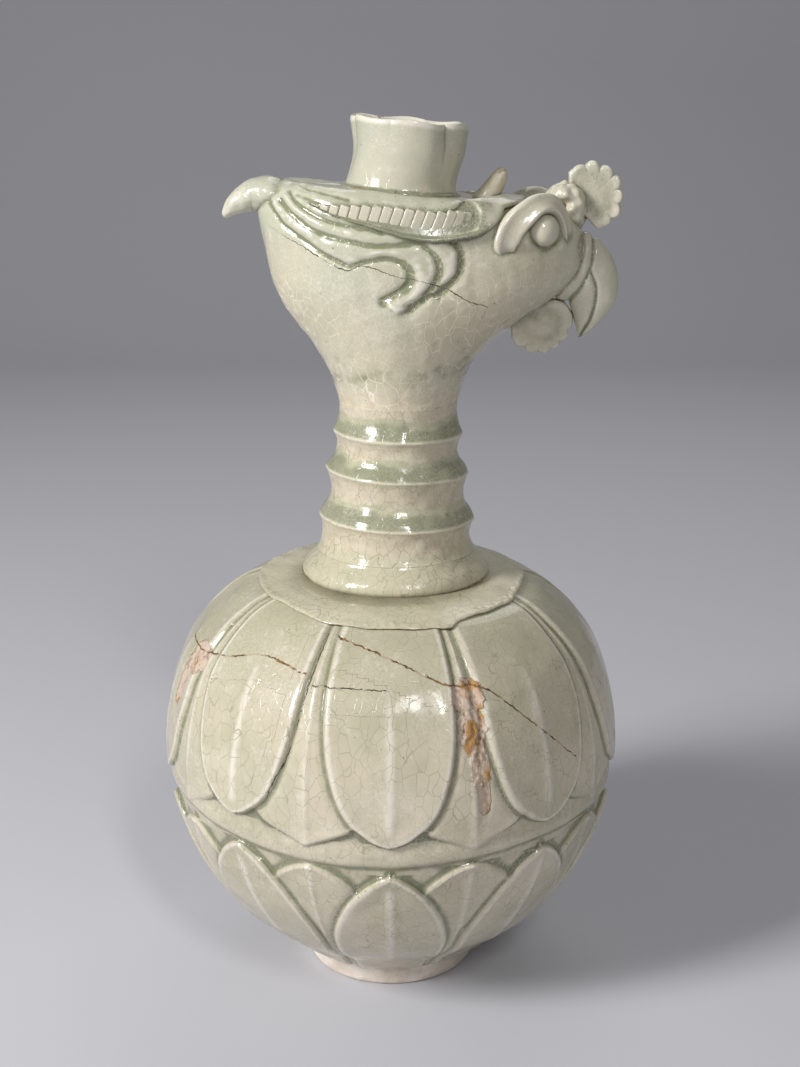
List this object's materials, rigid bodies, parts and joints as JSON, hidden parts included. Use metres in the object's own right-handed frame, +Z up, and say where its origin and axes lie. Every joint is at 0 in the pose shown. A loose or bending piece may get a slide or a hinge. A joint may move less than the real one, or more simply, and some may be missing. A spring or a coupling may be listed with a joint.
{
  "type": "phoenix-head ewer",
  "caption": "Tall lotus-petal bottle with a ridged neck and a bird's head that carries a lobed cup mouth, for holding and pouring liquid.",
  "frame": {"origin": "middle of the foot's underside, on the body's axis", "axes": "+Z up along the body's axis, +X towards the beak, -Y is the side of the bird's right eye"},
  "size_m": [0.2078, 0.2067, 0.3893],
  "materials": {
    "celadon_glaze": "glossy crackled pale green glaze over buff stoneware",
    "pooled_glaze": "deeper green glaze, pooled in the hollows",
    "biscuit": "unglazed fired clay, matt",
    "worn_biscuit": "brown, where the glaze is worn or broken through"
  },
  "bodies": {
    "root": {"foot_ring": "biscuit", "lower_bowl": "celadon_glaze", "upper_body": "celadon_glaze", "shoulder_collar": "pooled_glaze", "neck_flange": "pooled_glaze", "neck": "pooled_glaze", "head_shell": "celadon_glaze", "mouth_cup": "celadon_glaze", "crest_band": "celadon_glaze", "crest_tip": "worn_biscuit", "horn": "worn_biscuit", "brow_right": "celadon_glaze", "brow_left": "celadon_glaze", "eye_right": "pooled_glaze", "eye_left": "pooled_glaze", "cere_curl": "celadon_glaze", "comb": "celadon_glaze", "beak_upper": "celadon_glaze", "beak_lower": "celadon_glaze", "wattle": "pooled_glaze"}
  },
  "joints": []
}
